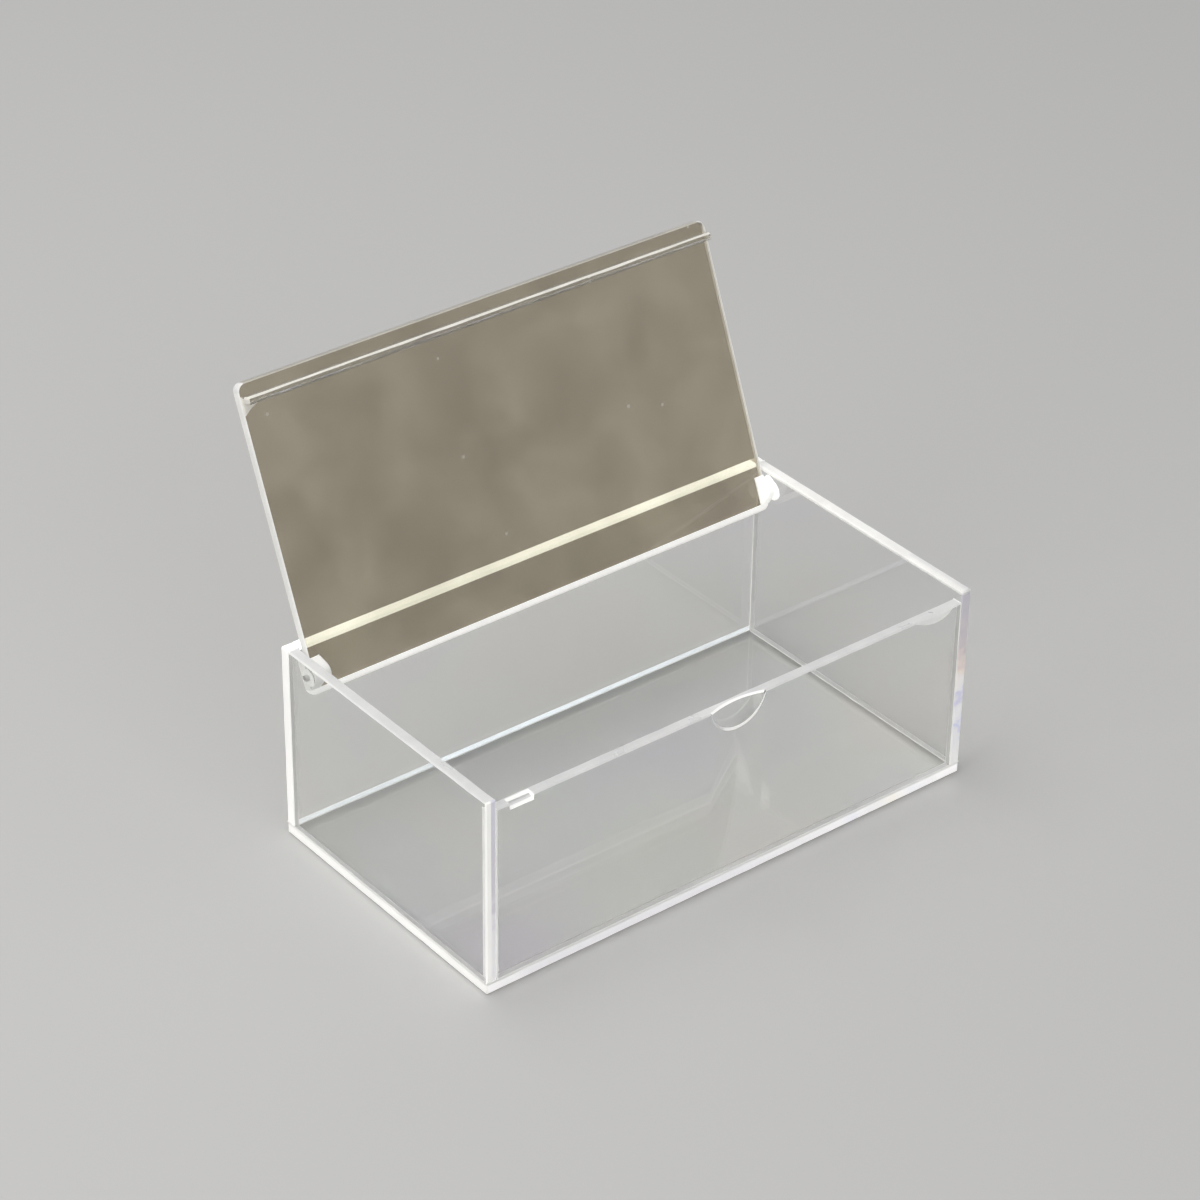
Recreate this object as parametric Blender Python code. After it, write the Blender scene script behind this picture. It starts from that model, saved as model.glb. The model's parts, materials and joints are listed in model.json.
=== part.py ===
"""Clear acrylic box with a hinged lid, modelled open, in metres with +Z up.

The origin is the centre of the case's underside. X runs along the box and -Y is its front."""

import math

import bmesh
import bpy
from mathutils import Matrix, Vector

# Case: a base with four walls standing on it, all of one sheet and cemented together.
CASE_WIDTH = 0.150
CASE_DEPTH = 0.082
CASE_HEIGHT = 0.055
CASE_SHEET = 0.003
CEMENT_GAP = 0.0003

# Front wall: lower than the rim by the lid's seat. Its outer face is dished in the middle of the
# top edge for a thumb, and that edge has a small nick near the left end.
LID_SEAT_DEPTH = 0.003
SCOOP_WIDTH = 0.017
SCOOP_HEIGHT = 0.0071
SCOOP_DEPTH = 0.0015
NICK_FROM_SIDE = 0.007
NICK_LENGTH = 0.0068
NICK_WIDTH = 0.0017
NICK_DEPTH = 0.0011

# Lid: a thinner sheet that lies between the side walls and on the front wall, with its rear
# edge rounded to pass the back wall as it swings.
LID_SHEET = 0.0025
LID_SIDE_GAP = 0.0005
LID_SEAT_GAP = 0.0002
LID_CORNER_RADIUS = 0.002
LID_REAR_ROUND = 0.001

# Lip: a strip under the lid that drops in just behind the front wall.
LIP_WIDTH = 0.002
LIP_DEPTH = 0.0024
LIP_CLEARANCE = 0.0002
LIP_END_INSET = 0.0005

# Hinge: an ear under each rear corner of the lid turns on a pin set in the side wall.
# The lean is how far past upright the open lid goes before the back wall's top edge stops it.
OPEN_LEAN = math.radians(23)
AXIS_BELOW_RIM = 0.0044
LEAN_GAP = 0.0003
SWING_GAP = 0.0002
EAR_THICKNESS = 0.003
EAR_NOSE_RADIUS = 0.0026
EAR_BASE_LENGTH = 0.0078
PIN_RADIUS = 0.00075
PIN_CLEARANCE = 0.00008
PIN_END_RECESS = 0.0002

# Every cut edge is broken by this width, and every cutter passes its piece by this much.
EDGE_BREAK = 0.00015
CUT_OVERRUN = 0.001

PIN_SIDES = 32
SCOOP_SIDES = 72
SCOOP_STEPS = 14
CORNER_STEPS = 8
ROUND_STEPS = 5
SHARP_ANGLE = math.radians(30)
FLAT_ANGLE = math.radians(1)

# Planes that several pieces share.
SIDE_INNER = CASE_WIDTH / 2 - CASE_SHEET
BACK_INNER = CASE_DEPTH / 2 - CASE_SHEET
FRONT_INNER = -CASE_DEPTH / 2 + CASE_SHEET
WALL_FOOT = CASE_SHEET + CEMENT_GAP
FRONT_WALL_TOP = CASE_HEIGHT - LID_SEAT_DEPTH

# Heights of the closed lid's two faces above the hinge axis.
AXIS_HEIGHT = CASE_HEIGHT - AXIS_BELOW_RIM
LID_UNDERSIDE = FRONT_WALL_TOP + LID_SEAT_GAP - AXIS_HEIGHT
LID_TOP = LID_UNDERSIDE + LID_SHEET

# The axis stands in front of the back wall by what makes the lid's top face meet the back
# wall's inner edge at the lean, and the lid ends where its swing just clears that wall.
AXIS_FROM_BACK = (LID_TOP + LEAN_GAP + AXIS_BELOW_RIM * math.sin(OPEN_LEAN)) / math.cos(OPEN_LEAN)
AXIS_Y = BACK_INNER - AXIS_FROM_BACK
REAR_ROUND = min(LID_REAR_ROUND, LID_SHEET / 2)
ROUND_REACH = AXIS_FROM_BACK - SWING_GAP - REAR_ROUND
LID_REAR = REAR_ROUND + math.sqrt(ROUND_REACH**2 - (LID_TOP - REAR_ROUND) ** 2)
LID_FRONT = -CASE_DEPTH / 2 - AXIS_Y
LID_HALF_WIDTH = SIDE_INNER - LID_SIDE_GAP

ACRYLIC_IOR = 1.49
CLEAR = (0.93, 0.94, 0.92)
SMOKED = (0.80, 0.78, 0.71)
MILKY = (0.95, 0.95, 0.93)


def clear_scene():
    for obj in list(bpy.data.objects):
        bpy.data.objects.remove(obj)


def acrylic(name, tint, roughness):
    material = bpy.data.materials.new(name)
    material.use_nodes = True
    shader = material.node_tree.nodes["Principled BSDF"]
    shader.inputs["Base Color"].default_value = (*tint, 1)
    shader.inputs["Roughness"].default_value = roughness
    shader.inputs["Metallic"].default_value = 0
    shader.inputs["IOR"].default_value = ACRYLIC_IOR
    shader.inputs["Transmission Weight"].default_value = 1
    return material


def place(name, bm, location, material=None, parent=None):
    """An object from the bmesh, shaded smooth between its sharp edges."""
    bmesh.ops.recalc_face_normals(bm, faces=bm.faces)
    mesh = bpy.data.meshes.new(name)
    bm.to_mesh(mesh)
    bm.free()
    mesh.shade_smooth()
    mesh.set_sharp_from_angle(angle=SHARP_ANGLE)
    if material:
        mesh.materials.append(material)
    obj = bpy.data.objects.new(name, mesh)
    bpy.context.scene.collection.objects.link(obj)
    obj.location = location
    obj.parent = parent
    return obj


def stacked(rings):
    """A closed bmesh through rings of as many points each, from the lowest ring up."""
    bm = bmesh.new()
    loops = [[bm.verts.new(point) for point in ring] for ring in rings]
    for lower, upper in zip(loops, loops[1:]):
        for i in range(len(lower)):
            bm.faces.new((lower[i - 1], lower[i], upper[i], upper[i - 1]))
    bm.faces.new(loops[0])
    bm.faces.new(loops[-1])
    return bm


def block(size):
    bm = bmesh.new()
    bmesh.ops.create_cube(bm, size=1)
    bmesh.ops.scale(bm, vec=size, verts=bm.verts)
    return bm


def rod(radius, length):
    """A cylinder along X, centred."""
    bm = bmesh.new()
    turn = Matrix.Rotation(math.radians(90), 4, "Y")
    bmesh.ops.create_cone(
        bm,
        cap_ends=True,
        segments=PIN_SIDES,
        radius1=radius,
        radius2=radius,
        depth=length,
        matrix=turn,
    )
    return bm


def arc(centre, radius, start, end, steps):
    """Points (u, v) on a circle, both ends included."""
    angles = [start + (end - start) * step / steps for step in range(steps + 1)]
    return [(centre[0] + radius * math.cos(a), centre[1] + radius * math.sin(a)) for a in angles]


def break_edges(obj):
    bevel = obj.modifiers.new("broken_edges", "BEVEL")
    bevel.width = EDGE_BREAK
    bevel.segments = 1
    bevel.limit_method = "ANGLE"
    bevel.angle_limit = SHARP_ANGLE


def cut(obj, cutter):
    cutter.hide_render = True
    cutter.display_type = "WIRE"
    boolean = obj.modifiers.new(cutter.name, "BOOLEAN")
    boolean.operation = "DIFFERENCE"
    boolean.object = cutter


def panel(name, low, high, material):
    """A rectangular panel between two corners, with broken edges."""
    low = Vector(low)
    high = Vector(high)
    obj = place(name, block(high - low), (low + high) / 2, material)
    break_edges(obj)
    return obj


def make_base():
    low = (-CASE_WIDTH / 2, -CASE_DEPTH / 2, 0)
    high = (CASE_WIDTH / 2, CASE_DEPTH / 2, CASE_SHEET)
    panel("base_panel", low, high, acrylic("base_acrylic", CLEAR, 0.05))


def make_back_wall():
    low = (-CASE_WIDTH / 2, BACK_INNER, WALL_FOOT)
    high = (CASE_WIDTH / 2, CASE_DEPTH / 2, CASE_HEIGHT)
    panel("back_wall", low, high, acrylic("back_acrylic", CLEAR, 0.05))


def make_side_wall(name, side):
    """A side wall between the front plane and the back wall, drilled for its hinge pin."""
    inner = side * SIDE_INNER
    outer = side * CASE_WIDTH / 2
    low = (min(inner, outer), -CASE_DEPTH / 2, WALL_FOOT)
    high = (max(inner, outer), BACK_INNER - CEMENT_GAP, CASE_HEIGHT)
    wall = panel(name, low, high, acrylic(name + "_acrylic", CLEAR, 0.05))
    drill = rod(PIN_RADIUS + PIN_CLEARANCE, CASE_SHEET + 2 * CUT_OVERRUN)
    axis = ((inner + outer) / 2, AXIS_Y, AXIS_HEIGHT)
    cut(wall, place(name + "_drill", drill, axis))


def cut_scoop(wall):
    """Dishes the wall with a ball that meets its outer face and its top face in two arcs."""
    half = SCOOP_WIDTH / 2
    face_radius = (half**2 + SCOOP_HEIGHT**2) / (2 * SCOOP_HEIGHT)
    top_radius = (half**2 + SCOOP_DEPTH**2) / (2 * SCOOP_DEPTH)
    rise = face_radius - SCOOP_HEIGHT
    ahead = top_radius - SCOOP_DEPTH
    ball_radius = math.hypot(top_radius, rise)
    reach = math.acos((ahead - CUT_OVERRUN) / ball_radius)
    last = 2 * math.pi * (1 - 1 / SCOOP_SIDES)
    rings = []
    for step in range(1, SCOOP_STEPS + 1):
        angle = reach * step / SCOOP_STEPS
        y = ball_radius * math.cos(angle)
        circle = arc((0, 0), ball_radius * math.sin(angle), 0, last, SCOOP_SIDES - 1)
        rings.append([Vector((x, y, z)) for x, z in circle])
    centre = (0, -CASE_DEPTH / 2 - ahead, FRONT_WALL_TOP + rise)
    cut(wall, place("front_scoop_cutter", stacked(rings), centre))


def make_front_wall():
    half = SIDE_INNER - CEMENT_GAP
    low = (-half, -CASE_DEPTH / 2, WALL_FOOT)
    high = (half, FRONT_INNER, FRONT_WALL_TOP)
    wall = panel("front_wall", low, high, acrylic("front_acrylic", CLEAR, 0.05))
    cut_scoop(wall)
    nick_start = NICK_FROM_SIDE - CASE_WIDTH / 2
    low = Vector((nick_start, -CASE_DEPTH / 2 - CUT_OVERRUN, FRONT_WALL_TOP - NICK_DEPTH))
    high = low + Vector((NICK_LENGTH, CUT_OVERRUN + NICK_WIDTH, NICK_DEPTH + CUT_OVERRUN))
    cut(wall, place("front_nick_cutter", block(high - low), (low + high) / 2))


def make_pin(name, side):
    """A hinge pin from just inside the wall's outer face to the far side of the ear."""
    outer = CASE_WIDTH / 2 - PIN_END_RECESS
    inner = LID_HALF_WIDTH - EAR_THICKNESS
    location = (side * (inner + outer) / 2, AXIS_Y, AXIS_HEIGHT)
    place(name, rod(PIN_RADIUS, outer - inner), location, acrylic(name + "_acrylic", MILKY, 0.2))


def make_hinge_axis():
    """The lid's parent: on the hinge axis, turned from closed to open."""
    axis = bpy.data.objects.new("hinge_axis", None)
    bpy.context.scene.collection.objects.link(axis)
    axis.location = (0, AXIS_Y, AXIS_HEIGHT)
    axis.rotation_euler = (-math.pi / 2 - OPEN_LEAN, 0, 0)
    return axis


def rounded_rectangle(half_x, low_y, high_y, radius):
    """Outline points (x, y), anticlockwise from the right side's rear corner."""
    x = half_x - radius
    centres = [(x, high_y - radius), (-x, high_y - radius), (-x, low_y + radius), (x, low_y + radius)]
    points = []
    for quarter, centre in enumerate(centres):
        start = quarter * math.pi / 2
        points += arc(centre, radius, start, start + math.pi / 2, CORNER_STEPS)
    return points


def lid_ring(depth, height):
    """The lid's outline at a depth under its nearer face: the rear edge is round, the others broken."""
    rest = max(REAR_ROUND - depth, 0)
    rear = LID_REAR - REAR_ROUND + math.sqrt(REAR_ROUND**2 - rest**2)
    broken = max(EDGE_BREAK - depth, 0)
    outline = rounded_rectangle(LID_HALF_WIDTH - broken, LID_FRONT + broken, rear, LID_CORNER_RADIUS)
    return [Vector((x, y, height)) for x, y in outline]


def make_lid_panel(axis):
    """The lid's sheet, with its origin on the hinge axis."""
    steps = [math.pi / 2 * step / ROUND_STEPS for step in range(ROUND_STEPS + 1)]
    depths = sorted([REAR_ROUND * (1 - math.cos(angle)) for angle in steps] + [EDGE_BREAK])
    rings = [lid_ring(depth, LID_UNDERSIDE + depth) for depth in depths]
    rings += [lid_ring(depth, LID_TOP - depth) for depth in reversed(depths)]
    place("lid_panel", stacked(rings), (0, 0, 0), acrylic("lid_acrylic", SMOKED, 0.08), axis)


def make_lid_lip(axis):
    size = Vector((2 * (LID_HALF_WIDTH - LIP_END_INSET), LIP_WIDTH, LIP_DEPTH))
    front = FRONT_INNER + LIP_CLEARANCE - AXIS_Y
    top = LID_UNDERSIDE - CEMENT_GAP
    centre = (0, front + LIP_WIDTH / 2, top - LIP_DEPTH / 2)
    break_edges(place("lid_lip", block(size), centre, acrylic("lip_acrylic", MILKY, 0.15), axis))


def ear_outline():
    """The ear seen from its side, about the hinge axis: a round nose under a straight base."""
    top = LID_UNDERSIDE - CEMENT_GAP
    nose = arc((0, 0), EAR_NOSE_RADIUS, 0, 2 * math.pi * (1 - 1 / PIN_SIDES), PIN_SIDES - 1)
    below = [(y, z) for y, z in nose if z < top]
    return below + [(-EAR_BASE_LENGTH / 2, top), (EAR_BASE_LENGTH / 2, top)]


def make_ear(name, side, axis):
    """An ear under the lid's rear corner, its outer face in line with the lid's side."""
    bm = bmesh.new()
    for x in (-EAR_THICKNESS / 2, EAR_THICKNESS / 2):
        for y, z in ear_outline():
            bm.verts.new((x, y, z))
    inside = bmesh.ops.convex_hull(bm, input=bm.verts)["geom_interior"]
    covered = [item for item in inside if isinstance(item, bmesh.types.BMVert)]
    bmesh.ops.delete(bm, geom=covered, context="VERTS")
    bmesh.ops.dissolve_limit(bm, angle_limit=FLAT_ANGLE, verts=bm.verts, edges=bm.edges)
    location = (side * (LID_HALF_WIDTH - EAR_THICKNESS / 2), 0, 0)
    ear = place(name, bm, location, acrylic(name + "_acrylic", MILKY, 0.2), axis)
    break_edges(ear)
    drill = rod(PIN_RADIUS + PIN_CLEARANCE, EAR_THICKNESS + 2 * CUT_OVERRUN)
    cut(ear, place(name + "_drill", drill, location, parent=axis))


def main():
    clear_scene()
    make_base()
    make_back_wall()
    make_front_wall()
    axis = make_hinge_axis()
    make_lid_panel(axis)
    make_lid_lip(axis)
    for name, side in (("left", -1), ("right", 1)):
        make_side_wall(name + "_wall", side)
        make_pin(name + "_hinge_pin", side)
        make_ear(name + "_hinge_ear", side, axis)


main()
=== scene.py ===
import json
import math

import bmesh
import bpy
from mathutils import Matrix, Vector, geometry, noise


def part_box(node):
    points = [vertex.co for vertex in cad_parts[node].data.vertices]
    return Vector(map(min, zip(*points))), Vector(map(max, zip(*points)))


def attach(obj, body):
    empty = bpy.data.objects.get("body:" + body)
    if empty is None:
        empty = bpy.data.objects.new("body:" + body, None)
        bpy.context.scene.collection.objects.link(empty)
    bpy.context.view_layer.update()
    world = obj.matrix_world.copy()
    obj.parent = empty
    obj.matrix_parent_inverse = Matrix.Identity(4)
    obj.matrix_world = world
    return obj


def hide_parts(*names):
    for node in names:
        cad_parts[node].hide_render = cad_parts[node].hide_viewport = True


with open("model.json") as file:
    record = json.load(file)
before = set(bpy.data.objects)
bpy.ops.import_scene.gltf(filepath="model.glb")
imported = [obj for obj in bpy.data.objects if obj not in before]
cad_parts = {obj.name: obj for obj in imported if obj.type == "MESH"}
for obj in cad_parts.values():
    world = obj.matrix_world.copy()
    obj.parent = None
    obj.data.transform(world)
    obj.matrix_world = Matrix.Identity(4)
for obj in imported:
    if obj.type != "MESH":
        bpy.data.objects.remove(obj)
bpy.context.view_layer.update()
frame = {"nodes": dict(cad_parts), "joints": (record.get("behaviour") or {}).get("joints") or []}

# Sizes that the frame doesn't give, in metres.
CAD_BREAK = 0.00015  # the solids' own broken edges
EDGE_BREAK = 0.00038  # the same edges once dressed
END_REACH = 1.5 * EDGE_BREAK  # a face this near to a wall's front end belongs to it
LIP_BREAK = 0.0005
LID_BREAK = 0.0003
BREAK_STEP = 0.0035  # between cuts along a sheet, where the breaks' width can change
LID_STEP = 0.006
LIT_MARGIN = 0.0009  # how far down a top edge's painted light reaches on the inner face
DULL_LENGTH = 0.020
HOLE_REACH = 0.002  # from the hinge axis to past the pin's hole
FILM_GAP = 0.00002  # what a film leaves free of each piece that it joins
FILM_STEP = 0.0013
FILM_BEAD = 0.00007  # how far its outline draws back, on average
LID_CORNER = 0.002  # radius of the lid's corners
LID_ROUND = 0.001  # radius of its rear edge
LID_LIT_LEFT = 0.0007  # painted bright margin of the lid's underside beside its rear edge, at each end
LID_LIT_RIGHT = 0.0009
# width of the painted bright margin along the underside's right side
LID_LIT_SIDE = 0.0005
EAR_BREAK = {"left": 0.0004, "right": 0.0010}
PIN_BREAK = 0.18  # share of the pin's radius
SCOOP_HALF = 0.0085
SCOOP_HEIGHT = 0.0071
SCOOP_DEPTH = 0.0015
SCOOP_END = 0.0003  # past the scoop's end, the next cross-section
SCOOP_CLEAR = 0.0006  # and the first of the evenly spaced ones
NICK_START = -0.068
NICK_END = -0.0612
NICK_WIDTH = 0.0017
NICK_DEPTH = 0.0011
NICK_BLEND = 0.0026  # from the nick's end to the next full cross-section
NICK_SLOPE = 0.00009
SMEAR_LENGTH = 0.0162
SMEAR_SAG = 0.0031
SMEAR_THICK = 0.0001
SMEAR_INSET = 0.0003  # from the wall's right end
SMEAR_EDGE = 0.0002  # its least height
PIN_CEMENT_RADIUS = {"left": 0.0022, "right": 0.0031}
PIN_CEMENT_THICK = 0.0002
LIP_CEMENT_LENGTH = 0.0058
LIP_CEMENT_RUN = 0.0026
LIP_CEMENT_THICK = 0.0003
LIP_CEMENT_CLEAR = 0.00005  # between it and the lip

UNEVEN = 160  # how quickly the breaks' width changes, in steps of noise to the metre
WELD = 0.000001
ACRYLIC_IOR = 1.49

# How far a normal turns towards a side on a face that counts as facing it, and on one that is flat.
FACING = 0.3
FLAT = 0.95
LID_FLAT = 0.99

# Counts of points, cuts and steps.
WALL_SECTIONS = 55
SCOOP_SECTIONS = 64
CORNER_STEPS = 12
LID_CORNER_STEPS = 10
LID_ROUND_STEPS = 6
EAR_POINTS = 72
EAR_STEPS = {"left": 3, "right": 8}
SMEAR_POINTS = 24
PIN_CEMENT_POINTS = 40

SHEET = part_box("base_panel")[1].z
HINGE = next(joint for joint in frame["joints"] if joint["name"] == "lid_hinge")
AXIS = Vector(HINGE["pos_m"])
OPEN_TURN = math.radians(HINGE["range_deg"][1])
LID_FRAME = Matrix.Translation(AXIS) @ Matrix.Rotation(-OPEN_TURN, 4, "X")
SIDES = {
    "-x": (-1, 0, 0),
    "+x": (1, 0, 0),
    "-y": (0, -1, 0),
    "+y": (0, 1, 0),
    "-z": (0, 0, -1),
    "+z": (0, 0, 1),
}


def closed_box(node):
    """Lowest and highest corners of a lid node about the hinge axis, with the lid closed."""
    back = LID_FRAME.inverted()
    points = [back @ vert.co for vert in frame["nodes"][node].data.vertices]
    low = Vector([min(point[i] for point in points) for i in range(3)])
    high = Vector([max(point[i] for point in points) for i in range(3)])
    return low, high


# Materials.


def new_material(name):
    material = bpy.data.materials.new(name)
    material.use_nodes = True
    return material, material.node_tree, material.node_tree.nodes["Principled BSDF"]


def coordinates(tree, scale=(1, 1, 1)):
    source = tree.nodes.new("ShaderNodeTexCoord")
    mapping = tree.nodes.new("ShaderNodeMapping")
    mapping.inputs["Scale"].default_value = scale
    tree.links.new(source.outputs["Object"], mapping.inputs["Vector"])
    return mapping.outputs["Vector"]


def noise_texture(tree, vector, scale, detail=3.0, roughness=0.55, distortion=0.0):
    texture = tree.nodes.new("ShaderNodeTexNoise")
    texture.inputs["Scale"].default_value = scale
    texture.inputs["Detail"].default_value = detail
    texture.inputs["Roughness"].default_value = roughness
    texture.inputs["Distortion"].default_value = distortion
    tree.links.new(vector, texture.inputs["Vector"])
    return texture.outputs["Fac"]


def remap(tree, value, low, high, to_low, to_high):
    node = tree.nodes.new("ShaderNodeMapRange")
    node.inputs["From Min"].default_value = low
    node.inputs["From Max"].default_value = high
    node.inputs["To Min"].default_value = to_low
    node.inputs["To Max"].default_value = to_high
    tree.links.new(value, node.inputs["Value"])
    return node.outputs["Result"]


def maths(tree, operation, a, b):
    node = tree.nodes.new("ShaderNodeMath")
    node.operation = operation
    for socket, value in zip(node.inputs, (a, b)):
        if isinstance(value, (int, float)):
            socket.default_value = value
        else:
            tree.links.new(value, socket)
    return node.outputs["Value"]


def ramp(tree, value, stops):
    node = tree.nodes.new("ShaderNodeValToRGB")
    elements = node.color_ramp.elements
    elements[0].position, elements[0].color = stops[0][0], (*stops[0][1], 1)
    elements[1].position, elements[1].color = stops[-1][0], (*stops[-1][1], 1)
    for position, colour in stops[1:-1]:
        elements.new(position).color = (*colour, 1)
    tree.links.new(value, node.inputs["Fac"])
    return node.outputs["Color"]


def acrylic(shader, transmission, painted_glow=0.0, light=(1, 1, 1)):
    shader.inputs["IOR"].default_value = ACRYLIC_IOR
    shader.inputs["Transmission Weight"].default_value = transmission
    # The emission is a painted glow that stands in for light, not a lamp; light gives its colour.
    shader.inputs["Emission Color"].default_value = (*light, 1)
    shader.inputs["Emission Strength"].default_value = painted_glow


def bump(tree, shader, height, distance, strength=1.0):
    node = tree.nodes.new("ShaderNodeBump")
    node.inputs["Strength"].default_value = strength
    node.inputs["Distance"].default_value = distance
    tree.links.new(height, node.inputs["Height"])
    tree.links.new(node.outputs["Normal"], shader.inputs["Normal"])


def polished(name, tints, transmission, cloud, smudge, specks=False):
    """Polished acrylic face: clear, with faint uneven tints, wiping smudges, hairlines and light specks."""
    material, tree, shader = new_material(name)
    vector = coordinates(tree)
    clouds = noise_texture(tree, vector, cloud, 2, 0.5, 0.4)
    stops = [(0.32 + 0.36 * i / (len(tints) - 1), tint) for i, tint in enumerate(tints)]
    colour = ramp(tree, clouds, stops)
    smudges = remap(tree, noise_texture(tree, vector, 38, 1, 0.4), 0.5, 0.8, 0.0, smudge)
    hairs = noise_texture(tree, coordinates(tree, (900, 26, 900)), 1.0, 0)
    marks = remap(tree, hairs, 0.80, 0.83, 0.0, 0.12)
    if specks:
        cells = tree.nodes.new("ShaderNodeTexVoronoi")
        cells.inputs["Scale"].default_value = 75
        tree.links.new(vector, cells.inputs["Vector"])
        spots = remap(tree, cells.outputs["Distance"], 0.03, 0.045, 1.0, 0.0)
        mix = tree.nodes.new("ShaderNodeMix")
        mix.data_type = "RGBA"
        tree.links.new(spots, mix.inputs["Factor"])
        tree.links.new(colour, mix.inputs[6])
        mix.inputs[7].default_value = (0.97, 0.96, 0.93, 1)
        colour = mix.outputs[2]
        marks = maths(tree, "ADD", marks, maths(tree, "MULTIPLY", spots, 0.3))
    tree.links.new(colour, shader.inputs["Base Color"])
    tree.links.new(maths(tree, "ADD", smudges, marks), shader.inputs["Roughness"])
    bump(tree, shader, noise_texture(tree, vector, 14, 0), 0.0001)
    acrylic(shader, transmission)
    return material


def worn(name, low, high, transmission, painted_glow, rough=(0.35, 0.55), light=(1.0, 0.99, 0.96)):
    """Sawn, scraped or cemented acrylic: whitish and softly uneven, with a painted glow standing in for light
    carried inside the sheet.
    """
    material, tree, shader = new_material(name)
    vector = coordinates(tree)
    patches = noise_texture(tree, vector, 130, 3, 0.5, 0.3)
    grain = noise_texture(tree, vector, 1500, 2, 0.5)
    coarse = maths(tree, "MULTIPLY", patches, 0.75)
    mixed = maths(tree, "ADD", coarse, maths(tree, "MULTIPLY", grain, 0.25))
    tree.links.new(ramp(tree, mixed, [(0.35, low), (0.65, high)]), shader.inputs["Base Color"])
    tree.links.new(remap(tree, patches, 0.3, 0.7, *rough), shader.inputs["Roughness"])
    bump(tree, shader, grain, 0.00002, 0.5)
    acrylic(shader, transmission, painted_glow, light)
    return material


def tinted_with_painted_glow(name, axis, start, end, stops, spread, transmission, painted_glow):
    """A sawn end: its tint changes along an axis, the light breaks up into blots, and it carries a painted
    glow.
    """
    material, tree, shader = new_material(name)
    vector = coordinates(tree)
    split = tree.nodes.new("ShaderNodeSeparateXYZ")
    tree.links.new(vector, split.inputs["Vector"])
    share = remap(tree, split.outputs[axis], start, end, 0.0, 1.0)
    blots = noise_texture(tree, vector, 330, 1, 0.5)
    shifted = maths(tree, "ADD", share, remap(tree, blots, 0.3, 0.7, -spread, spread))
    tree.links.new(ramp(tree, shifted, stops), shader.inputs["Base Color"])
    tree.links.new(remap(tree, blots, 0.3, 0.7, 0.3, 0.5), shader.inputs["Roughness"])
    bump(tree, shader, noise_texture(tree, vector, 1500, 2), 0.00002, 0.5)
    acrylic(shader, transmission, painted_glow, (1.0, 0.98, 0.98))
    return material


CLEAR_TINTS = [(0.965, 0.958, 0.978), (0.972, 0.982, 0.972), (0.982, 0.975, 0.962)]
SMOKY_TINTS = [(0.452, 0.402, 0.308), (0.515, 0.46, 0.355), (0.578, 0.518, 0.403)]
VIOLET_STOPS = [
    (0.0, (0.90, 0.90, 0.90)),
    (0.25, (0.74, 0.73, 0.78)),
    (0.5, (0.55, 0.53, 0.60)),
    (1.0, (0.60, 0.60, 0.72)),
]
BLOT_STOPS = [
    (0.0, (0.93, 0.93, 0.92)),
    (0.14, (0.90, 0.90, 0.90)),
    (0.22, (0.56, 0.60, 0.84)),
    (0.28, (0.95, 0.95, 0.95)),
    (0.38, (0.60, 0.60, 0.82)),
    (0.44, (0.95, 0.95, 0.95)),
    (0.56, (0.88, 0.72, 0.63)),
    (0.68, (0.55, 0.48, 0.50)),
    (1.0, (0.42, 0.41, 0.50)),
]
BAND_STOPS = [
    (0.0, (0.92, 0.92, 0.92)),
    (0.1, (0.66, 0.66, 0.69)),
    (0.5, (0.70, 0.70, 0.74)),
    (0.68, (0.84, 0.84, 0.85)),
    (0.74, (0.94, 0.94, 0.94)),
    (0.765, (0.74, 0.77, 0.90)),
    (0.79, (0.96, 0.96, 0.95)),
    (0.812, (0.80, 0.80, 0.80)),
    (0.835, (0.97, 0.96, 0.93)),
    (0.857, (0.90, 0.86, 0.66)),
    (0.875, (0.97, 0.97, 0.96)),
    (0.897, (0.78, 0.80, 0.86)),
    (0.92, (0.97, 0.97, 0.96)),
    (0.94, (0.82, 0.82, 0.80)),
    (0.96, (0.97, 0.97, 0.96)),
    (1.0, (0.95, 0.95, 0.95)),
]

CLEAR = polished("clear_sheet", CLEAR_TINTS, 1.0, 20, 0.05)
SMOKY = polished("smoky_sheet", SMOKY_TINTS, 0.92, 42, 0.10, True)
# From here on, all but scraped_edge, dished_face and pin_rod carry a painted glow. lit_edge and glowing_edge
# are painted-lit copies of sawn_edge, and dull_edge is a copy with less painted glow.
WHITE = worn("sawn_edge", (0.80, 0.80, 0.78), (0.90, 0.90, 0.88), 0.10, 0.06)
LIT = worn("lit_edge", (0.86, 0.86, 0.84), (0.93, 0.93, 0.91), 0.08, 0.26)
# Strong bluish painted glow standing in for light on the back rim, bright enough to show through the smoky
# lid.
GLOWING = worn("glowing_edge", (0.88, 0.88, 0.86), (0.94, 0.94, 0.92), 0.08, 1.9, light=(0.80, 0.91, 1.0))
HAZY = worn("smoky_edge", (0.52, 0.50, 0.45), (0.62, 0.60, 0.54), 0.45, 0.03)
# Cement colour with a painted glow. It also paints a bright margin on the lid's underside and a highlight on
# the lip's corner and ends.
BEIGE_CEMENT_PAINTED_GLOW = worn("smoky_cement_and_painted_glow", (0.72, 0.70, 0.64), (0.86, 0.84, 0.78), 0.25, 0.07)
DULL = worn("dull_edge", (0.80, 0.80, 0.80), (0.88, 0.88, 0.87), 0.22, 0.03)
SOFT = worn("scraped_edge", (0.78, 0.79, 0.79), (0.88, 0.88, 0.88), 0.34, 0.0, (0.25, 0.42))
GLAZED = worn("dished_face", (0.88, 0.89, 0.88), (0.95, 0.95, 0.94), 0.86, 0.0, (0.12, 0.25))
JOINT = worn("cemented_edge", (0.86, 0.87, 0.86), (0.94, 0.94, 0.93), 0.32, 0.13, (0.3, 0.5))
CEMENT = worn("solvent_cement", (0.88, 0.89, 0.88), (0.96, 0.96, 0.95), 0.40, 0.10, (0.3, 0.5))
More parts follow.
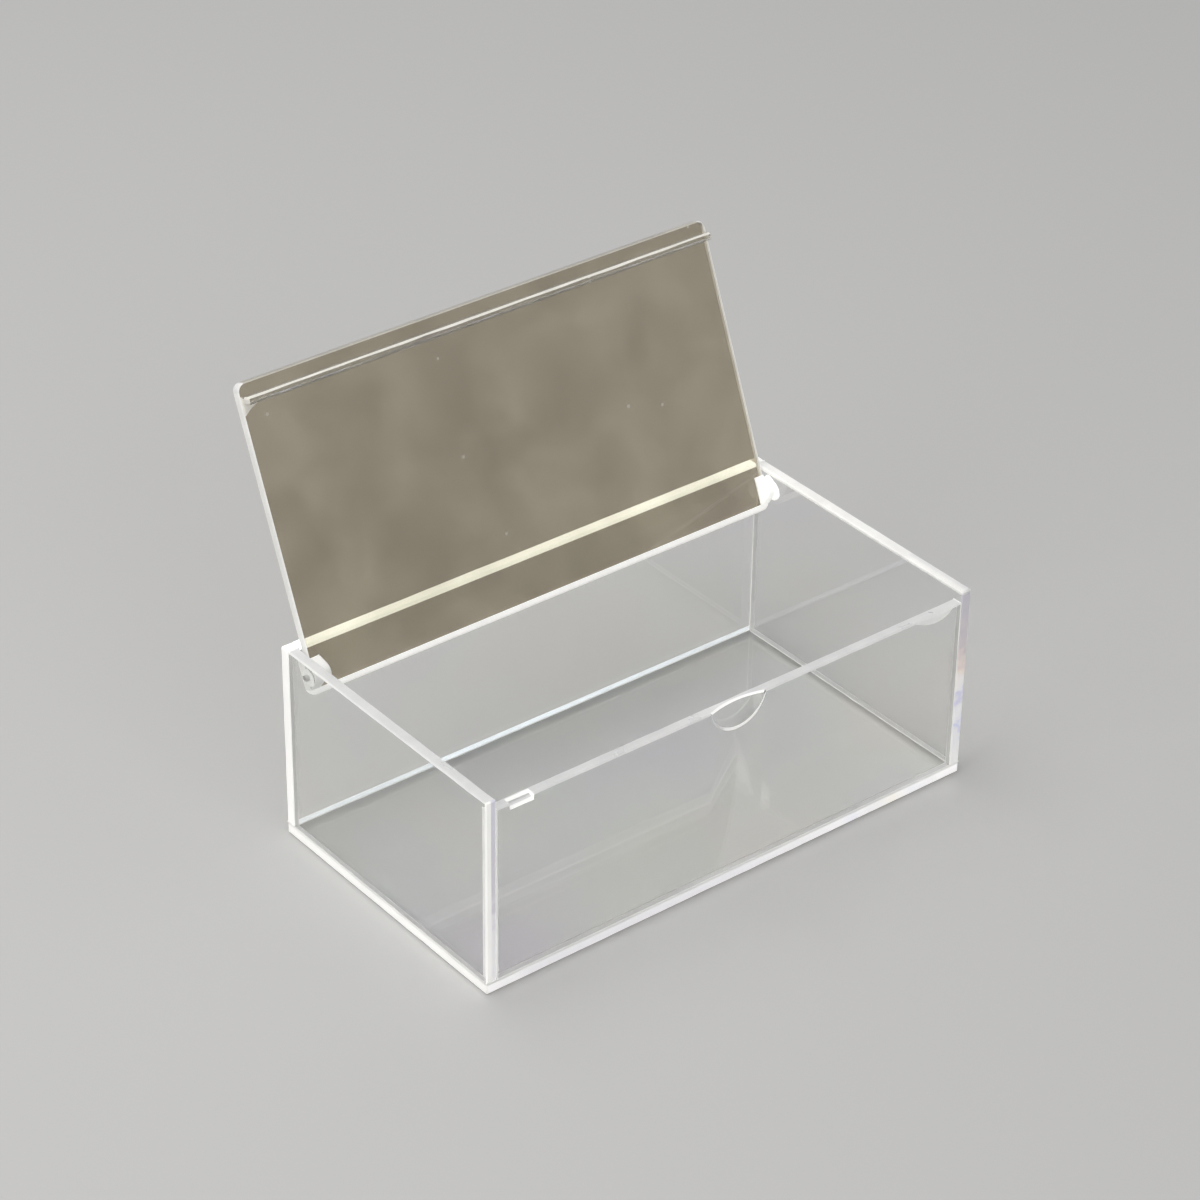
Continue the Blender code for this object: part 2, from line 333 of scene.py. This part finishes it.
# Milky colour with a painted glow; only the right hinge's ear, pin and cement get it.
MILKY_PAINTED_GLOW = worn("milky_painted_glow_block", (0.90, 0.90, 0.88), (0.96, 0.96, 0.94), 0.15, 0.25, (0.3, 0.5))
PIN = worn("pin_rod", (0.50, 0.50, 0.48), (0.66, 0.66, 0.63), 0.4, 0.0, (0.15, 0.35))
WALL_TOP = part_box("left_wall")[1].z
LEFT_END, RIGHT_END = (corner.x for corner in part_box("base_panel"))
VIOLET = tinted_with_painted_glow("violet_end", "Z", SHEET, WALL_TOP, VIOLET_STOPS, 0.10, 0.20, 0.22)
BLOTTED = tinted_with_painted_glow("blotted_end", "Z", SHEET, WALL_TOP, BLOT_STOPS, 0.05, 0.12, 0.20)
BAND = tinted_with_painted_glow("front_band", "X", LEFT_END, RIGHT_END, BAND_STOPS, 0.014, 0.12, 0.40)

MATERIALS = [CLEAR, SMOKY, HAZY, BEIGE_CEMENT_PAINTED_GLOW, JOINT, GLAZED, SOFT, DULL, VIOLET, BLOTTED, BAND, WHITE, LIT]
MATERIALS += [GLOWING, CEMENT, MILKY_PAINTED_GLOW, PIN]


# Pieces.


def paint(faces, material):
    for face in faces:
        face.material_index = MATERIALS.index(material)


def finish_piece(bm, name, body, nodes, lid=False, angle=35):
    """Makes the object, with only the materials that its faces use."""
    bmesh.ops.recalc_face_normals(bm, faces=bm.faces)
    used = sorted({face.material_index for face in bm.faces})
    for face in bm.faces:
        face.material_index = used.index(face.material_index)
    mesh = bpy.data.meshes.new(name)
    bm.to_mesh(mesh)
    bm.free()
    carried = mesh.attributes.get("custom_normal")
    if carried:
        mesh.attributes.remove(carried)
    mesh.shade_smooth()
    mesh.set_sharp_from_angle(angle=math.radians(angle))
    for index in used:
        mesh.materials.append(MATERIALS[index])
    obj = bpy.data.objects.new(name, mesh)
    bpy.context.scene.collection.objects.link(obj)
    if lid:
        obj.matrix_world = LID_FRAME
    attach(obj, body)
    if nodes:
        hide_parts(*nodes)
    return obj


def solid_mesh(node, lid=False):
    """The node's own solid with its flat faces whole. A lid node is turned to closed, about its axis."""
    bm = bmesh.new()
    bm.from_mesh(frame["nodes"][node].data)
    if lid:
        bm.transform(LID_FRAME.inverted())
    bmesh.ops.remove_doubles(bm, verts=bm.verts, dist=WELD)
    bmesh.ops.dissolve_limit(bm, angle_limit=math.radians(1), verts=bm.verts, edges=bm.edges)
    bmesh.ops.recalc_face_normals(bm, faces=bm.faces)
    return bm


def split_at(bm, point, normal):
    parts = bm.verts[:] + bm.edges[:] + bm.faces[:]
    bmesh.ops.bisect_plane(bm, geom=parts, plane_co=point, plane_no=normal)


def slice_along(bm, axis, low, high, step):
    """Cuts square to an axis, evenly spaced."""
    count = max(1, round((high - low) / step))
    normal = Vector([float(i == axis) for i in range(3)])
    for index in range(1, count):
        split_at(bm, normal * (low + (high - low) * index / count), normal)


def widen_breaks(bm, low, high, width, joined=(), wobble=0.16):
    """Widens the broken edges, apart from those of joined sides, to a slightly uneven width."""
    bounds = {"-x": (0, low.x, 1), "+x": (0, high.x, -1), "-y": (1, low.y, 1)}
    bounds.update({"+y": (1, high.y, -1), "-z": (2, low.z, 1), "+z": (2, high.z, -1)})
    for vert in bm.verts:
        insets = {side: (vert.co[i] - bound) * inward for side, (i, bound, inward) in bounds.items()}
        if any(insets[side] < 0.5 * CAD_BREAK for side in joined):
            continue
        for side, inset in insets.items():
            if 0.5 * CAD_BREAK < inset < 1.1 * CAD_BREAK and side not in joined:
                i, bound, inward = bounds[side]
                uneven = noise.noise(vert.co * UNEVEN + Vector((i * 7.0, bound * 50, 3.0)))
                vert.co[i] = bound + inward * width * (1 + wobble * uneven * 2)


def broken_edge(near):
    """The material of a broken edge between two sides: that of the brighter one, or a brighter one still."""
    for bright in (LIT, VIOLET, BLOTTED, BAND):
        if bright in near:
            return JOINT if JOINT in near else LIT
    if WHITE in near:
        return WHITE
    if SOFT in near:
        return DULL
    return JOINT if JOINT in near else near[0]


def dress(bm, sides):
    """Each flat face gets its side's material."""
    bm.normal_update()
    for face in bm.faces:
        facing = {side: face.normal.dot(Vector(SIDES[side])) for side in SIDES}
        near = [sides[side] for side in sides if facing[side] > FACING]
        if max(facing.values()) > FLAT:
            paint([face], sides[max(facing, key=facing.get)])
        else:
            paint([face], broken_edge(near) if near else CLEAR)


def sheet_mesh(node, sides):
    low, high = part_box(node)
    bm = solid_mesh(node)
    for axis in range(3):
        if high[axis] - low[axis] > 4 * BREAK_STEP:
            slice_along(bm, axis, low[axis], high[axis], BREAK_STEP)
    widen_breaks(bm, low, high, EDGE_BREAK, [side for side in sides if sides[side] is JOINT])
    dress(bm, sides)
    return bm, low, high


def base_panel():
    sides = {"-x": LIT, "+x": WHITE, "-y": BAND, "+y": WHITE, "-z": CLEAR, "+z": CLEAR}
    bm = sheet_mesh("base_panel", sides)[0]
    for face in bm.faces:
        if FACING < face.normal.z < FLAT:
            paint([face], JOINT)
    finish_piece(bm, "base_panel_sheet", "case", ["base_panel"])


def back_wall():
    """Painted glow: its top edge glows, and so does the top of its inner face between the side walls."""
    sides = {"-x": LIT, "+x": WHITE, "-y": CLEAR, "+y": CLEAR, "-z": JOINT, "+z": LIT}
    bm, _, high = sheet_mesh("back_wall", sides)
    split_at(bm, Vector((0, 0, high.z - LIT_MARGIN)), Vector((0, 0, 1)))
    for face in bm.faces:
        centre = face.calc_center_median()
        inside = abs(centre.x) < high.x - SHEET
        if centre.z > high.z - LIT_MARGIN and face.normal.y < FACING and inside:
            # painted glow standing in for light on the rim seen through the lid
            paint([face], GLOWING)
    finish_piece(bm, "back_wall_sheet", "case", ["back_wall"])


def side_wall(side):
    """The pin's hole is white inside. Tints and painted glows differ at the front ends, and the right top
    edge and the top of its inner face are painted brighter than the left top edge.
    """
    name = side + "_wall"
    end = LIT if side == "left" else BLOTTED
    top = SOFT if side == "left" else WHITE
    sides = {"-x": CLEAR, "+x": CLEAR, "-y": end, "+y": JOINT, "-z": JOINT, "+z": top}
    bm, low, high = sheet_mesh(name, sides)
    middle = (low + high) / 2
    split_at(bm, Vector((middle.x, 0, 0)), Vector((1, 0, 0)))
    if side == "right":
        split_at(bm, Vector((0, 0, high.z - LIT_MARGIN)), Vector((0, 0, 1)))
    for face in bm.faces:
        centre = face.calc_center_median()
        at_front = centre.y < low.y + END_REACH
        at_top = centre.z > high.z - LIT_MARGIN
        outer = centre.x > middle.x
        if math.hypot(centre.y - AXIS.y, centre.z - AXIS.z) < HOLE_REACH and abs(face.normal.x) < 0.5:
            paint([face], WHITE)
        elif side == "left" and at_front and outer:
            paint([face], VIOLET)
        elif side == "right" and at_front and centre.z < high.z - LIT_MARGIN:
            if face.normal.y < -FACING:
                paint([face], BLOTTED)
        # painted highlight on the right top edge and the top of its inner face, dimmer towards the front on
        # the outer half
        elif side == "right" and at_top and face.normal.x < FACING:
            paint([face], DULL if outer and centre.y < low.y + DULL_LENGTH else WHITE)
    finish_piece(bm, name + "_sheet", "case", [name])


def hollow_profile(x, low, high):
    """The front wall's outer top corner at x, as points (y, z) from its face to its top.

    The scoop is a cap of a ball. Near its ends it turns step by step into the plain broken edge.
    """
    count = CORNER_STEPS
    front, top = low.y, high.z
    uneven = 1 + 0.25 * noise.noise(Vector((x * UNEVEN, 5.0, 1.0)))
    width = EDGE_BREAK * uneven
    plain = [(front + width * i / count, top - width + width * i / count) for i in range(count + 1)]
    outer, inner = (front, top - width), (front + width, top)
    if abs(x) < SCOOP_HALF:
        face_radius = (SCOOP_HALF**2 + SCOOP_HEIGHT**2) / (2 * SCOOP_HEIGHT)
        top_radius = (SCOOP_HALF**2 + SCOOP_DEPTH**2) / (2 * SCOOP_DEPTH)
        rise = face_radius - SCOOP_HEIGHT
        ahead = top_radius - SCOOP_DEPTH
        ball = math.sqrt(top_radius**2 + rise**2 - x**2)
        start = -math.acos(ahead / ball)
        end = -math.asin(rise / ball)
        trim = min(1.1 * width / ball, (end - start) * 0.3)  # room for the scoop's own broken edges
        angles = [start + trim + (end - start - 2 * trim) * i / count for i in range(count + 1)]
        dish = [(front - ahead + ball * math.cos(a), top + rise + ball * math.sin(a)) for a in angles]
        share = min((end - start) * ball / (6 * width), 1.0)
        share = share * share * (3 - 2 * share)
        dish = [tuple(Vector(p).lerp(Vector(d), share)) for p, d in zip(plain, dish)]
        outer = (front, top + rise - math.sqrt(ball**2 - ahead**2) - width * (1 - 0.2 * share))
        inner = (front - ahead + math.sqrt(ball**2 - rise**2) + width, top)
        return [outer] + dish + [inner]
    if NICK_START <= x <= NICK_END:
        bar = width * 1.6
        ledge, riser = top - NICK_DEPTH, front + NICK_WIDTH
        half = count // 2
        step = [(front + bar + (riser - front - bar) * i / half, ledge) for i in range(half)]
        step += [(riser, ledge + (top - bar - ledge) * i / half) for i in range(half + 1)]
        return [(front, ledge - bar)] + step + [(riser + bar, top)]
    return [outer] + plain + [inner]


def front_wall():
    """Cross-sections in a row along X: the hollow of the scoop and the nick run through their corner."""
    low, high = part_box("front_wall")
    first, last = low.x + CAD_BREAK, high.x - CAD_BREAK
    nick = (NICK_START - NICK_BLEND, NICK_END + NICK_BLEND)
    places = [first + (last - first) * i / WALL_SECTIONS for i in range(WALL_SECTIONS + 1)]
    places = [x for x in places if abs(x) > SCOOP_HALF + SCOOP_CLEAR and not nick[0] < x < nick[1]]
    half = SCOOP_SECTIONS // 2
    places += [SCOOP_HALF * math.sin(math.pi * i / SCOOP_SECTIONS) for i in range(-half, half + 1)]
    places += [-SCOOP_HALF - SCOOP_END, SCOOP_HALF + SCOOP_END, *nick]
    places += [NICK_START - NICK_SLOPE, NICK_START, (NICK_START + NICK_END) / 2]
    places += [NICK_END, NICK_END + NICK_SLOPE]
    places = [low.x] + sorted(places) + [high.x]
    front, back = low.y + CAD_BREAK, high.y - CAD_BREAK
    bottom, top = low.z + CAD_BREAK, high.z - CAD_BREAK
    bm = bmesh.new()
    rings = []
    for x in places:
        points = [(front, low.z), (low.y, bottom)] + hollow_profile(x, low, high)
        rear = EDGE_BREAK * (1 + 0.25 * noise.noise(Vector((x * UNEVEN, 9.0, 1.0))))
        points += [(high.y - rear, high.z), (high.y, high.z - rear), (high.y, bottom), (back, low.z)]
        if x in (low.x, high.x):
            points = [(min(max(y, front), back), min(max(z, bottom), top)) for y, z in points]
        rings.append([bm.verts.new((x, y, z)) for y, z in points])
    count = CORNER_STEPS
    outer_break, inner_break = 2, count + 3
    strips = {0: JOINT, 1: CLEAR, outer_break: DULL, inner_break: DULL, count + 4: SOFT, count + 5: DULL}
    strips.update({count + 6: CLEAR, count + 7: JOINT, count + 8: JOINT})
    for index in range(len(rings) - 1):
        x = (places[index] + places[index + 1]) / 2
        in_scoop = abs(x) < SCOOP_HALF
        no_painted_highlight = -SCOOP_HALF < x < -0.5 * SCOOP_HALF
        for j in range(len(rings[0])):
            k = (j + 1) % len(rings[0])
            corners = (rings[index][j], rings[index][k], rings[index + 1][k], rings[index + 1][j])
            material = strips.get(j, GLAZED if in_scoop else DULL)
            # Painted highlights: the scoop's and the nick's broken edges get the lit edge, except the outer
            # one over the scoop's left part.
            if in_scoop or nick[0] < x < nick[1]:
                if j == inner_break or j == outer_break and not no_painted_highlight:
                    material = LIT
            if outer_break < j < inner_break:
                if NICK_START < x < NICK_END:
                    material = SOFT
                # a painted glint just past the nick's end
                if NICK_END < x < NICK_END + 2 * NICK_SLOPE:
                    material = LIT
            if index in (0, len(rings) - 2):
                material = JOINT
            paint([bm.faces.new(corners)], material)
    paint([bm.faces.new(rings[0]), bm.faces.new(rings[-1])], JOINT)
    bmesh.ops.remove_doubles(bm, verts=bm.verts, dist=WELD / 2)
    finish_piece(bm, "front_wall_sheet", "case", ["front_wall"], angle=18)


def lid_outline(low, high, depth, height):
    """The lid's outline at a depth under its nearer face, with its rear edge round."""
    steps = LID_CORNER_STEPS
    rest = max(LID_ROUND - depth, 0)
    rear = high.y - LID_ROUND + math.sqrt(LID_ROUND**2 - rest**2)
    broken = max(LID_BREAK - depth, 0)
    right, left, front = high.x - broken, low.x + broken, low.y + broken
    corners = [
        (right - LID_CORNER, rear - LID_CORNER),
        (left + LID_CORNER, rear - LID_CORNER),
        (left + LID_CORNER, front + LID_CORNER),
        (right - LID_CORNER, front + LID_CORNER),
    ]
    ring = []
    for quarter, centre in enumerate(corners):
        for step in range(steps + 1):
            angle = (quarter + step / steps) * math.pi / 2
            x = centre[0] + LID_CORNER * math.cos(angle)
            ring.append(Vector((x, centre[1] + LID_CORNER * math.sin(angle), height)))
    return ring


def lid_panel():
    """Smoky sheet with painted light on its edges: its left side is bright, its rear edge and what lies
    beside that brighter still.
    """
    low, high = closed_box("lid_panel")
    turns = [math.pi / 2 * step / LID_ROUND_STEPS for step in range(LID_ROUND_STEPS + 1)]
    depths = sorted([LID_ROUND * (1 - math.cos(turn)) for turn in turns] + [LID_BREAK])
    levels = [(depth, low.z + depth) for depth in depths]
    levels += [(depth, high.z - depth) for depth in reversed(depths)]
    bm = bmesh.new()
    loops = [[bm.verts.new(point) for point in lid_outline(low, high, *level)] for level in levels]
    for lower, upper in zip(loops, loops[1:]):
        for i in range(len(lower)):
            bm.faces.new((lower[i - 1], lower[i], upper[i], upper[i - 1]))
    bm.faces.new(loops[0])
    bm.faces.new(loops[-1])
    across = Vector((high.x - low.x, LID_LIT_LEFT - LID_LIT_RIGHT, 0)).normalized()
    normal = Vector((-across.y, across.x, 0))
    start = Vector((low.x, high.y - LID_ROUND - LID_LIT_LEFT, 0))
    split_at(bm, start, normal)
    beside = high.x - LID_BREAK - LID_LIT_SIDE
    split_at(bm, Vector((beside, 0, 0)), Vector((1, 0, 0)))
    for axis in (0, 1):
        slice_along(bm, axis, low[axis], high[axis], LID_STEP)
    bmesh.ops.recalc_face_normals(bm, faces=bm.faces)
    bm.normal_update()
    for face in bm.faces:
        centre = face.calc_center_median()
        flat = abs(face.normal.z) > LID_FLAT
        behind = (centre - start).dot(normal) > 0
        # painted glow on the rear edge and on the strip of underside beside it
        if behind and (face.normal.z < LID_FLAT or centre.y > high.y - LID_ROUND):
            paint([face], LIT)
        elif flat:
            # painted bright margin on the underside along the right side
            paint([face], BEIGE_CEMENT_PAINTED_GLOW if centre.x > beside and face.normal.z < 0 else SMOKY)
        elif centre.y < low.y + LID_CORNER:
            paint([face], HAZY if abs(centre.x) < high.x - LID_CORNER else DULL)
        else:
            # side edges: the painted-lit copy where x > 0, the plain sawn edge elsewhere
            paint([face], LIT if centre.x > 0 else WHITE)
    finish_piece(bm, "lid_sheet", "lid", ["lid_panel"], True, 40)


def lid_lip():
    """Clear strip: its corner towards the lid's front edge is pale with a painted highlight, and so are its
    two ends.
    """
    low, high = closed_box("lid_lip")
    bm = solid_mesh("lid_lip", True)
    slice_along(bm, 0, low.x, high.x, BREAK_STEP)
    widen_breaks(bm, low, high, LIP_BREAK)
    bm.normal_update()
    for face in bm.faces:
        end = abs(face.normal.x) > FACING
        corner = face.normal.y < -FACING and face.normal.z < -FACING
        paint([face], BEIGE_CEMENT_PAINTED_GLOW if end or corner else CLEAR)
    finish_piece(bm, "lid_lip_strip", "lid", ["lid_lip"], True)


def ear_outline(node, count):
    """The ear seen along the hinge axis: directions and how far it reaches in each, and its hole's radius."""
    back = LID_FRAME.inverted()
    points = [(back @ vert.co).yz for vert in frame["nodes"][node].data.vertices]
    corners = [points[i] for i in geometry.convex_hull_2d(points)]
    outline = []
    for i in range(count):
        angle = 2 * math.pi * i / count
        toward = Vector((math.cos(angle), math.sin(angle)))
        hits = []
        for start, end in zip(corners, corners[1:] + corners[:1]):
            hit = geometry.intersect_line_line_2d((0, 0), toward, start, end)
            if hit:
                hits.append(hit.length)
        outline.append((toward, max(hits)))
    return outline, min(point.length for point in points)


def ear(side):
    """Sawn block round its pin. The right one is soft cornered and milky with a painted glow, the left one
    white at its edges.
    """
    name = side + "_hinge_ear"
    low, high = closed_box(name)
    outline, hole = ear_outline(name, EAR_POINTS)
    soft, steps = EAR_BREAK[side], EAR_STEPS[side]
    levels = []
    for i in range(steps + 1):
        angle = math.pi / 2 * i / steps
        levels.append((soft * (1 - math.cos(angle)), soft * (1 - math.sin(angle))))
    sections = [(low.x + depth, inset) for depth, inset in levels]
    sections += [(high.x - depth, inset) for depth, inset in reversed(levels)]
    bm = bmesh.new()
    loops = [[bm.verts.new((low.x, *(toward * hole))) for toward, _ in outline]]
    for x, inset in sections:
        points = [toward * max(reach - inset, hole * 1.15) for toward, reach in outline]
        loops.append([bm.verts.new((x, *point)) for point in points])
    loops.append([bm.verts.new((high.x, *(toward * hole))) for toward, _ in outline])
    for index, loop in enumerate(loops):
        after = loops[(index + 1) % len(loops)]
        for i in range(len(loop)):
            face = bm.faces.new((loop[i - 1], loop[i], after[i], after[i - 1]))
            flat = index in (0, len(loops) - 2)
            # the right ear gets the milky painted glow
            paint([face], MILKY_PAINTED_GLOW if side == "right" else GLAZED if flat else WHITE)
    finish_piece(bm, name + "_block", "lid", [name], True)


def pin(side):
    """Round rod with a small bevel at both ends."""
    name = side + "_hinge_pin"
    low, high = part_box(name)
    middle = (low + high) / 2
    radius = (high.z - low.z) / 2
    bm = bmesh.new()
    turn = Matrix.Translation(middle) @ Matrix.Rotation(math.radians(90), 4, "Y")
    bmesh.ops.create_cone(
        bm, cap_ends=True, segments=40, radius1=radius, radius2=radius, depth=high.x - low.x, matrix=turn
    )
    caps = [face for face in bm.faces if len(face.verts) > 4]
    rims = list({edge for face in caps for edge in face.edges})
    bmesh.ops.bevel(bm, geom=rims, offset=radius * PIN_BREAK, segments=2, affect="EDGES")
    # the right pin gets the milky painted glow
    paint(bm.faces, PIN if side == "left" else MILKY_PAINTED_GLOW)
    finish_piece(bm, name + "_rod", "case", [name])


def film(name, low, high, axis, body, slot, lid=False, material=CEMENT):
    """Solvent cement between two pieces: a thin film with an uneven outline, flat across one axis."""
    u, v = [i for i in range(3) if i != axis]
    corners = [(low[u], low[v]), (high[u], low[v]), (high[u], high[v]), (low[u], high[v])]
    bm = bmesh.new()
    outline = []
    for i, start in enumerate(corners):
        end = corners[(i + 1) % 4]
        length = math.dist(start, end)
        count = max(2, round(length / FILM_STEP))
        for step in range(count):
            share = step / count
            at = [start[0] + (end[0] - start[0]) * share, start[1] + (end[1] - start[1]) * share]
            outward = ((end[1] - start[1]) / length, -(end[0] - start[0]) / length)
            uneven = noise.noise(Vector((at[0] * 300, at[1] * 300, i * 5.0 + low[axis] * 90)))
            wobble = FILM_BEAD * (uneven - 1.0)
            outline.append((at[0] + outward[0] * wobble, at[1] + outward[1] * wobble))
    rings = []
    for height in (low[axis] + FILM_GAP, high[axis] - FILM_GAP):
        ring = []
        for a, b in outline:
            point = Vector((0, 0, 0))
            point[u], point[v], point[axis] = a, b, height
            ring.append(bm.verts.new(point))
        rings.append(ring)
    for i in range(len(outline)):
        bm.faces.new((rings[0][i - 1], rings[0][i], rings[1][i], rings[1][i - 1]))
    bm.faces.new(rings[0])
    bm.faces.new(rings[1])
    paint(bm.faces, material)
    finish_piece(bm, name, body, [], lid)


def patch(name, outline, axis, base, thick, body, lid=False, material=CEMENT):
    """A low run of cement on a flat face, thinner towards its outline, whose points are (u, v)."""
    u, v = [i for i in range(3) if i != axis]
    middle = [sum(point[i] for point in outline) / len(outline) for i in (0, 1)]
    bm = bmesh.new()
    rings = []
    for height, share in ((0.0, 1.0), (0.55, 0.97), (0.85, 0.9), (1.0, 0.75)):
        ring = []
        for a, b in outline:
            point = Vector((0, 0, 0))
            point[axis] = base + thick * height
            point[u] = middle[0] + (a - middle[0]) * share
            point[v] = middle[1] + (b - middle[1]) * share
            ring.append(bm.verts.new(point))
        rings.append(ring)
    for inner, outer in zip(rings, rings[1:]):
        for i in range(len(inner)):
            bm.faces.new((inner[i - 1], inner[i], outer[i], outer[i - 1]))
    bm.faces.new(rings[0])
    bm.faces.new(rings[-1])
    paint(bm.faces, material)
    finish_piece(bm, name, body, [], lid)


def patches():
    """Cement that ran out: under the front rim's right end, round both pins, and at the lip's left end."""
    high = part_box("front_wall")[1]
    top = high.z - EDGE_BREAK * 1.4
    right = high.x - SMEAR_INSET
    outline = [(right - SMEAR_LENGTH * i / 8, top) for i in range(9)]
    for i in range(SMEAR_POINTS, -1, -1):
        share = i / SMEAR_POINTS
        sag = SMEAR_SAG * math.sin(math.pi * share**0.72) ** 1.2
        outline.append((right - SMEAR_LENGTH * share, top - SMEAR_EDGE - sag))
    patch("rim_smear", outline, 1, high.y + FILM_GAP, SMEAR_THICK, "case")

    # the right pin's cement gets the milky painted glow
    for side, outward, material in (("left", -1, CEMENT), ("right", 1, MILKY_PAINTED_GLOW)):
        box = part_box(side + "_wall")
        inner = box[0 if side == "right" else 1].x
        outline = []
        for i in range(PIN_CEMENT_POINTS):
            angle = 2 * math.pi * i / PIN_CEMENT_POINTS
            across, up = math.cos(angle), math.sin(angle)
            uneven = noise.noise(Vector((across, up, outward * 3.7)))
            reach = PIN_CEMENT_RADIUS[side] * (1 + 0.3 * uneven)
            outline.append((AXIS.y + reach * across, AXIS.z + reach * up))
        base, thick = inner - outward * FILM_GAP, -outward * PIN_CEMENT_THICK
        name = side + "_pin_cement"
        patch(name, outline, 0, base, thick, "case", material=material)

    low, high = closed_box("lid_lip")
    panel = closed_box("lid_panel")[0]
    edge, end, strip = panel.x + LID_BREAK, low.x - LIP_CEMENT_CLEAR, high.y + LIP_CEMENT_CLEAR
    outline = [(edge, strip + LIP_CEMENT_RUN), (edge, strip - 0.0022), (end, strip - 0.0019), (end, strip)]
    for i in range(8):
        share = i / 8
        outline.append((edge + LIP_CEMENT_LENGTH * (1 - share), strip + LIP_CEMENT_RUN * share**1.7))
    base, thick = panel.z - FILM_GAP, -LIP_CEMENT_THICK
    patch("lip_end_cement", outline, 2, base, thick, "lid", True, BEIGE_CEMENT_PAINTED_GLOW)


def overlap(a, b, axis):
    """The space between two boxes that face each other along an axis."""
    low = Vector([max(a[0][i], b[0][i]) for i in range(3)])
    high = Vector([min(a[1][i], b[1][i]) for i in range(3)])
    low[axis], high[axis] = sorted((min(a[1][axis], b[1][axis]), max(a[0][axis], b[0][axis])))
    return low, high


def films():
    """The joints between the case's panels, and the lid's joints with its ears and lip."""
    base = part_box("base_panel")
    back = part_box("back_wall")
    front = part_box("front_wall")
    for side in ("left", "right"):
        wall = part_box(side + "_wall")
        film(side + "_wall_foot_cement", *overlap(base, wall, 2), 2, "case", "case_acrylic")
        film(side + "_wall_back_cement", *overlap(wall, back, 1), 1, "case", "case_acrylic")
        film(side + "_wall_front_cement", *overlap(front, wall, 0), 0, "case", "case_acrylic")
        joint = overlap(closed_box(side + "_hinge_ear"), closed_box("lid_panel"), 2)
        film(side + "_ear_cement", *joint, 2, "lid", "hinge_acrylic", True)
    film("back_wall_foot_cement", *overlap(base, back, 2), 2, "case", "case_acrylic")
    film("front_wall_foot_cement", *overlap(base, front, 2), 2, "case", "case_acrylic")
    joint = overlap(closed_box("lid_lip"), closed_box("lid_panel"), 2)
    film("lid_lip_cement", *joint, 2, "lid", "lid_acrylic", True, CLEAR)


# Studio.


def studio():
    """Plain pale floor, grey surroundings, three soft lamps and the camera fitted to the photograph."""
    floor_mesh = bpy.data.meshes.new("floor")
    reach = 8.0
    corners = [(-reach, -reach, 0), (reach, -reach, 0), (reach, reach, 0), (-reach, reach, 0)]
    floor_mesh.from_pydata(corners, [], [(0, 1, 2, 3)])
    floor = bpy.data.objects.new("floor", floor_mesh)
    floor.location.z = -0.0002
    bpy.context.scene.collection.objects.link(floor)
    material, tree, shader = new_material("pale_floor")
    shader.inputs["Base Color"].default_value = (0.48, 0.48, 0.475, 1)
    shader.inputs["Roughness"].default_value = 0.75
    shader.inputs["Specular IOR Level"].default_value = 0.25
    floor_mesh.materials.append(material)

    world = bpy.data.worlds.new("studio")
    bpy.context.scene.world = world
    world.use_nodes = True
    tree = world.node_tree
    background = tree.nodes["Background"]
    source = tree.nodes.new("ShaderNodeTexCoord")
    split = tree.nodes.new("ShaderNodeSeparateXYZ")
    tree.links.new(source.outputs["Generated"], split.inputs["Vector"])
    height = remap(tree, split.outputs["Z"], -0.1, 1.0, 0, 1)
    greys = [(0.0, (0.24, 0.24, 0.25)), (0.35, (0.40, 0.40, 0.41)), (1.0, (0.62, 0.62, 0.63))]
    tree.links.new(ramp(tree, height, greys), background.inputs["Color"])
    background.inputs["Strength"].default_value = 1.0

    for name, place, size, power, tint in (
        ("overhead_softbox", (-0.25, 0.35, 1.3), (1.1, 0.9), 9.0, (1.0, 0.99, 0.97)),
        ("left_softbox", (-1.25, -0.05, 0.75), (0.8, 0.8), 6.0, (1.0, 0.98, 0.95)),
        ("front_softbox", (-0.35, -1.9, 1.15), (1.2, 0.8), 8.0, (1.0, 0.98, 0.95)),
    ):
        light = bpy.data.lights.new(name, "AREA")
        light.shape = "RECTANGLE"
        light.size, light.size_y = size
        light.energy = power
        light.color = tint
        lamp = bpy.data.objects.new(name, light)
        bpy.context.scene.collection.objects.link(lamp)
        lamp.location = place
        lamp.rotation_euler = (Vector(place) - Vector((0, 0, 0.03))).to_track_quat("Z", "Y").to_euler()

    camera = bpy.data.cameras.new("camera")
    camera.sensor_width = 36
    camera.lens = 115.05
    view = bpy.data.objects.new("camera", camera)
    bpy.context.scene.collection.objects.link(view)
    view.location = (-0.49755, -0.60737, 0.56102)
    view.rotation_euler = [math.radians(angle) for angle in (57.4427, -0.6647, -38.3486)]
    bpy.context.scene.camera = view
    bpy.context.scene.view_settings.view_transform = "Standard"
    bpy.context.scene.cycles.blur_glossy = 0
    bpy.context.scene.cycles.max_bounces = 24
    bpy.context.scene.cycles.transmission_bounces = 24
    bpy.context.scene.cycles.glossy_bounces = 8


base_panel()
back_wall()
front_wall()
lid_panel()
lid_lip()
for side in ("left", "right"):
    side_wall(side)
    ear(side)
    pin(side)
films()
patches()
studio()
